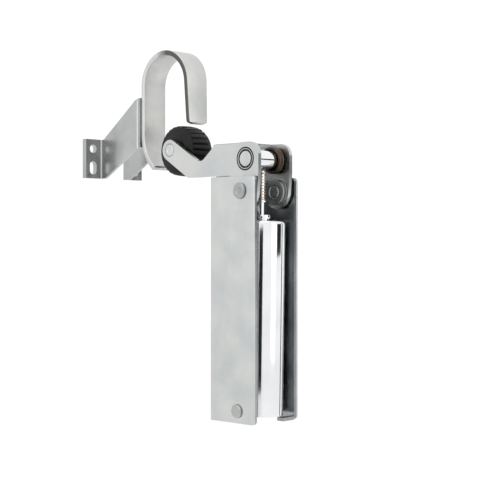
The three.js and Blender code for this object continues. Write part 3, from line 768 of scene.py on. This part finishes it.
def make_rod():
    top = ROD_LENGTH - extent("link_barrel").y / 2 - 1.3
    rod = rounded([(0, 33, 0), (ROD_RADIUS, 33, 0.5), (ROD_RADIUS, top, 0.6), (0, top, 0)], 0)
    put(turned("damper_rod", rod, DAMPER, 48), "rod", ["piston_rod"], BRIGHT)
    bore, outer = ROD_RADIUS + GAP, TUBE_RADIUS - 2.4
    profile = rounded([(bore, 36), (outer, 36), (outer, 41), (outer - 1.4, 41), (outer - 1.4, 44),
                       (outer, 44), (outer, 50), (bore, 50)], 0.25)
    put(turned("damper_piston", profile, DAMPER), "rod", ["piston"], BRIGHT)
    profile = rounded([(outer - 1.1, 41.3), (outer + 0.1, 41.3), (outer + 0.1, 43.7),
                       (outer - 1.1, 43.7)], 0.3)
    put(turned("ring_seal", profile, DAMPER), "rod", ["piston_ring"], RUBBER)
    put(coil("rod_coil", ROD_RADIUS + 0.85, 0.42, top - 22.9, top - 1.0, 11, DAMPER), "rod",
        ["rod_spring"], COPPERY)
    low, high = top - 24.6, top - 23.3
    profile = rounded([(bore, low), (3.7, low), (3.7, high), (bore, high)], 0.3)
    put(turned("spring_clip", profile, DAMPER, 48), "rod", ["spring_retainer"], BRIGHT)


# ---- Strike ----------------------------------------------------------------------------
STRAP = 4.4
TIP_SHARE = 20.6 / 24.4
FRONT = 41.2
TIP = 141.5
CURL_FROM = 135.5
CURL_RADIUS = 40
CURL = math.radians(51)


def strap_path(count=150):
    """Centreline of the hook, tip to curled end: (point, outward normal, half width, s, total)."""
    back = STRAP_HIGH.y
    radius = (back - FRONT) / 2
    centre = Vector((back - radius, STRAP_HIGH.z - radius))
    slope = Vector((FRONT - STRAP_LOW.y, centre.y - TIP))
    curl_radius = CURL_RADIUS - STRAP / 2
    curl_centre = Vector((back - CURL_RADIUS, CURL_FROM))
    radius -= STRAP / 2
    lengths = [slope.length, math.pi * radius, centre.y - CURL_FROM, CURL * curl_radius]
    half = (STRAP_HIGH.x - STRAP_LOW.x) / 2
    total = sum(lengths)
    for i in range(count + 1):
        s = total * i / count
        if s < lengths[0]:
            normal = Vector((-1, 0))
            point = Vector((STRAP_LOW.y + STRAP / 2, TIP)) + slope * (s / slope.length)
        elif s < lengths[0] + lengths[1]:
            a = math.pi - (s - lengths[0]) / radius
            normal = Vector((math.cos(a), math.sin(a)))
            point = centre + radius * normal
        elif s < total - lengths[3]:
            normal = Vector((1, 0))
            point = Vector((back - STRAP / 2, centre.y - (s - lengths[0] - lengths[1])))
        else:
            a = -(s - total + lengths[3]) / curl_radius
            normal = Vector((math.cos(a), math.sin(a)))
            point = curl_centre + curl_radius * normal
        down = (STRAP_HIGH.z - point.y) / (STRAP_HIGH.z - TIP)
        width = half * (1 + (TIP_SHARE - 1) * down) if point.x < centre.x else half
        yield point, normal, width, s, total


def make_strap():
    """The bent bar with softly rounded edges and rounded tip corners."""
    edge = 1.0
    corner_radius = {0: 3.6, 1: 2.2}
    bm = bmesh.new()
    rings = []
    for point, normal, width, s, total in strap_path():
        for end, distance in ((0, s), (1, total - s)):
            r = corner_radius[end]
            if distance < r:
                width -= r - math.sqrt(max(r * r - (r - distance) ** 2, 0))
        thick = STRAP / 2
        near_end = min(s, total - s)
        if near_end < edge:
            thick -= edge - math.sqrt(max(edge * edge - (edge - near_end) ** 2, 0))
        section = rounded([(-width, -thick), (width, -thick), (width, thick), (-width, thick)],
                          min(edge, thick * 0.9), 4)
        rings.append([bm.verts.new((x, *(point + normal * n))) for x, n in section])
    count = len(rings[0])
    for lower, upper in zip(rings, rings[1:]):
        for i in range(count):
            j = (i + 1) % count
            bm.faces.new((lower[i], lower[j], upper[j], upper[i]))
    bm.faces.new(rings[0])
    bm.faces.new(reversed(rings[-1]))
    put(finish_mesh(bm, "hook_bar"), "strike", ["hook_strap"], STRAP_ZINC_PAINTED_SHADE)


BRACKET_LOW, BRACKET_HIGH = (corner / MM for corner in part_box("strike_bracket"))
BRACKET_SHEET = 2.5
LEG_HALF = 15.0
FOOT_THICK = 4.7
FOOT_TOP = 134
WEB_LOW = 124.8
SHOULDER = 163.7         # where the web's top corners are cut
FOOT_SCREW = 3.65
FOOT_SCREW_X = 24
FOOT_HOLE_Z = 125.7
FOOT_SLOT = (107.0, 111.2)


def bracket_section():
    """Cross-section (x, y) of the channel and its two feet."""
    web, wall, foot = BRACKET_LOW.y, BRACKET_HIGH.y, BRACKET_HIGH.x
    inner, face, back = LEG_HALF - BRACKET_SHEET, wall - FOOT_THICK, web + BRACKET_SHEET
    return rounded([
        (-foot, wall), (-inner, wall, 3.0), (-inner, back, 1.0), (inner, back, 1.0),
        (inner, wall, 3.0), (foot, wall), (foot, face), (LEG_HALF, face, 1.4), (LEG_HALF, web, 2.6),
        (-LEG_HALF, web, 2.6), (-LEG_HALF, face, 1.4), (-foot, face)], 0, 7)


def bracket_side():
    """Side outline (y, z): the web, the slanting legs and the feet."""
    web, wall, top, low = BRACKET_LOW.y, BRACKET_HIGH.y, BRACKET_HIGH.z, BRACKET_LOW.z
    face = wall - FOOT_THICK
    return rounded([
        (web - 1, WEB_LOW), (web - 1, top), (web + BRACKET_SHEET, top, 1), (web + 7.7, 162.4, 2),
        (face - 3, FOOT_TOP, 2), (wall + 1, FOOT_TOP), (wall + 1, low), (face - 5, low, 2),
        (web + 0.8, WEB_LOW)], 0, 4)


def bracket_front():
    """Front outline (z, x): wide feet, and a web with cut top corners."""
    foot, leg, shoulder = BRACKET_HIGH.x + 1, LEG_HALF + 1, FOOT_TOP + 0.6
    half = [(90, foot), (shoulder, foot), (shoulder, leg), (SHOULDER, leg),
            (BRACKET_HIGH.z + 0.8, LEG_HALF - 3.0)]
    return [(z, -x) for z, x in half] + half[::-1]


def make_bracket():
    """A bent channel on the hook's back with two thick feet turned outwards."""
    wall, foot = BRACKET_HIGH.y, BRACKET_HIGH.x + 1
    body = plate("bent_bracket", bracket_section(), [], BRACKET_LOW.z, BRACKET_HIGH.z, 0,
                 Matrix.Identity(4))
    body = combined(body, plate("trim", bracket_side(), [], -foot, foot, 0), "INTERSECT")
    body = combined(body, plate("corners", bracket_front(), [], BRACKET_LOW.y - 1, wall + 1, 0, Y_OUT),
                    "INTERSECT")
    low, high = FOOT_SLOT
    for x in (-FOOT_SCREW_X, FOOT_SCREW_X):
        round_hole = arc((FOOT_HOLE_Z, x), FOOT_SCREW, 0, 350, 35)
        slot = arc((low, x), FOOT_SCREW, 90, 270, 18) + arc((high, x), FOOT_SCREW, -90, 90, 18)
        for outline in (round_hole, slot):
            drill = plate("drill", outline, [], wall - FOOT_THICK - 3, wall + 3, 0, Y_OUT)
            body = combined(body, drill, "DIFFERENCE")
    put(eased(body, 0.35), "strike", ["strike_bracket"], BRACKET_ZINC)


# ---- Camera, floor and light -----------------------------------------------------------
CAMERA = (-0.7082, -0.6977, 0.0438)
YAW, PITCH = math.radians(45.756), math.radians(0.136)     # from +Y towards +X, and upwards
FLOOR_DROP = 0.45        # from the part's lowest point down to the floor


def make_camera():
    camera = bpy.data.objects.new("camera", bpy.data.cameras.new("camera"))
    bpy.context.scene.collection.objects.link(camera)
    camera.data.lens = 93.1
    camera.data.sensor_width = 36
    camera.data.clip_start = 0.01
    camera.location = CAMERA
    yaw, pitch = YAW, PITCH
    forward = Vector((math.sin(yaw) * math.cos(pitch), math.cos(yaw) * math.cos(pitch),
                      math.sin(pitch)))
    camera.rotation_euler = forward.to_track_quat("-Z", "Y").to_euler()
    bpy.context.scene.camera = camera


def stage_sheet(name, width, height, colours, specular=0.5):
    """A matt rectangle across X and Y that isn't part of the object."""
    bm = bmesh.new()
    bmesh.ops.create_grid(bm, x_segments=1, y_segments=1, size=0.5)
    bm.transform(Matrix.Diagonal((width, height, 1, 1)))
    mesh = bpy.data.meshes.new(name)
    bm.to_mesh(mesh)
    bm.free()
    sheet = bpy.data.objects.new(name, mesh)
    bpy.context.scene.collection.objects.link(sheet)
    paint = Paint(name)
    paint.shader.inputs["Roughness"].default_value = 0.9
    paint.shader.inputs["Specular IOR Level"].default_value = specular
    dark, light = colours
    paint.link(paint.ramp(paint.noise(3), [(0.3, dark), (0.7, light)]),
               paint.shader.inputs["Base Color"])
    mesh.materials.append(paint.material)
    return sheet


def make_floor():
    floor = stage_sheet("floor", 12, 12, ((0.93, 0.93, 0.93), (0.95, 0.95, 0.95)))
    floor.location.z = CAD_BOX[0].z - FLOOR_DROP


def dark_card(name, place, width, height):
    """An upright dark panel outside the camera's view, for the plated steel to mirror."""
    card = stage_sheet(name, width, height, ((0.012, 0.014, 0.015), (0.02, 0.022, 0.023)), 0.0)
    card.location = place
    card.rotation_euler = Vector((-place[0], -place[1], 0)).to_track_quat("Z", "Y").to_euler()


def make_cards():
    dark_card("card_behind_camera", (-1.20, -1.14, -0.12), 0.50, 0.62)
    dark_card("card_right", (0.80, -0.78, 0.145), 0.52, 0.20)
    dark_card("card_far_right", (1.10, -0.42, 0.1), 0.14, 0.9)


def area_light(name, place, size, energy, target=(0, 0, 0.03), size_y=None):
    lamp = bpy.data.lights.new(name, "AREA")
    lamp.shape = "RECTANGLE"
    lamp.size = size
    lamp.size_y = size_y or size
    lamp.energy = energy
    light = bpy.data.objects.new(name, lamp)
    light.location = place
    light.rotation_euler = (Vector(target) - Vector(place)).to_track_quat("-Z", "Y").to_euler()
    bpy.context.scene.collection.objects.link(light)


def make_light():
    world = bpy.data.worlds.new("studio")
    bpy.context.scene.world = world
    world.use_nodes = True
    background = world.node_tree.nodes["Background"]
    background.inputs["Color"].default_value = (1, 1, 1, 1)
    background.inputs["Strength"].default_value = 1.07
    area_light("key", (-1.1, 0.1, 0.5), 0.7, 2, size_y=0.9)
    area_light("front", (0.35, -1.2, 0.25), 0.5, 2, size_y=1.0)
    area_light("top", (0.0, 0.0, 1.3), 0.9, 2)


bpy.context.scene.view_settings.view_transform = "Standard"
make_camera()
make_floor()
make_cards()
make_light()
make_side_plates()
make_body_channel()
make_rivets()
make_arm()
make_link()
make_axle()
make_roller()
make_damper()
make_rod()
make_strap()
make_bracket()
